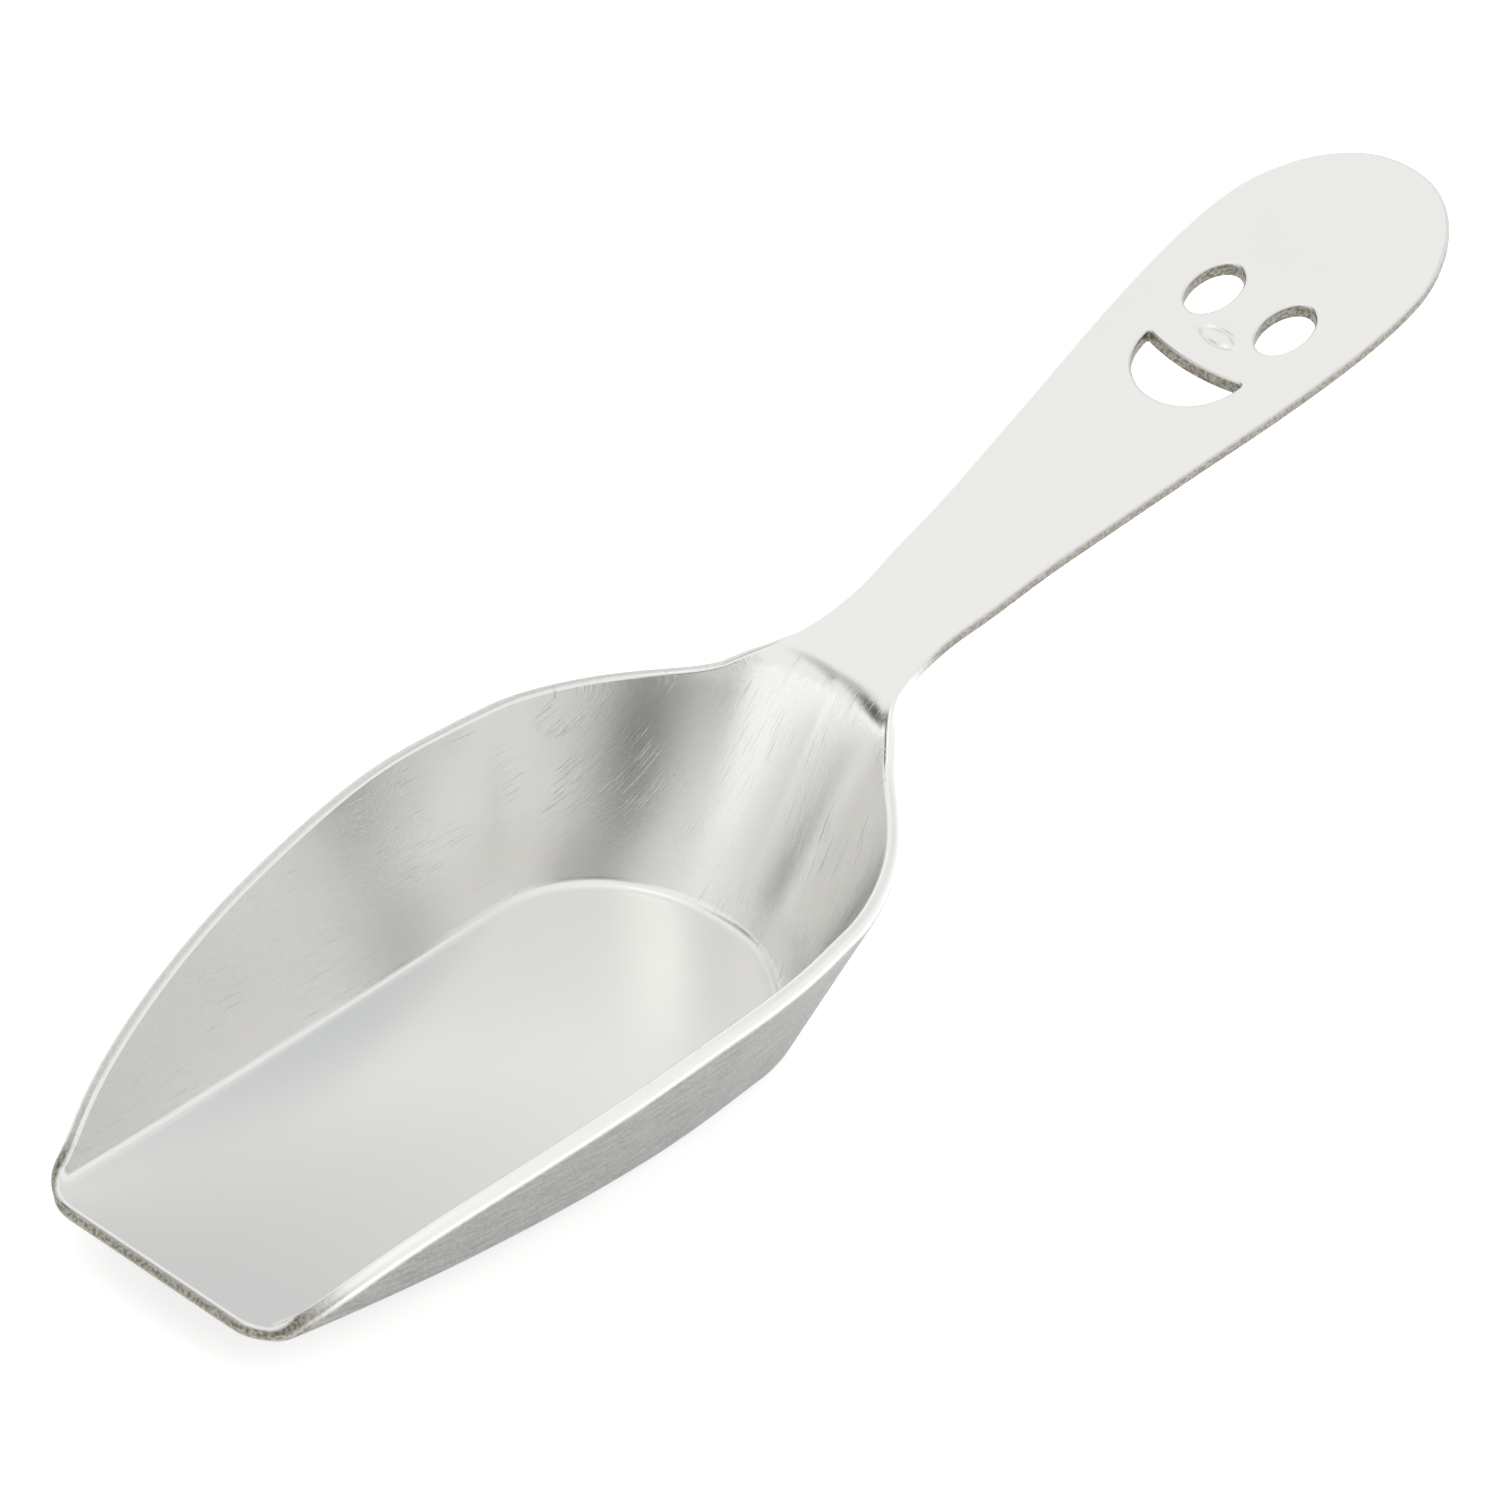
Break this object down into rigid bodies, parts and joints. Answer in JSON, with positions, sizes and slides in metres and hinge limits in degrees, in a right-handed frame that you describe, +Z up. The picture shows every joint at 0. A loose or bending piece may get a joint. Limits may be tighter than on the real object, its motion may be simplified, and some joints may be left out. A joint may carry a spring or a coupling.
{
  "type": "ice scoop",
  "caption": "Small pressed aluminium ice scoop with an open-fronted bowl and a flat handle pierced with a smiling face.",
  "frame": {"origin": "centre of the bounding box in plan, at the underside of the rear of the bowl floor, which rests on the table", "axes": "+X runs from the scooping edge to the end of the handle, +Z is up, and the scoop is symmetric about Y = 0"},
  "size_m": [0.1705, 0.044, 0.0439],
  "materials": {
    "aluminium": "satin"
  },
  "bodies": {
    "root": {"scoop": "aluminium"}
  },
  "joints": []
}
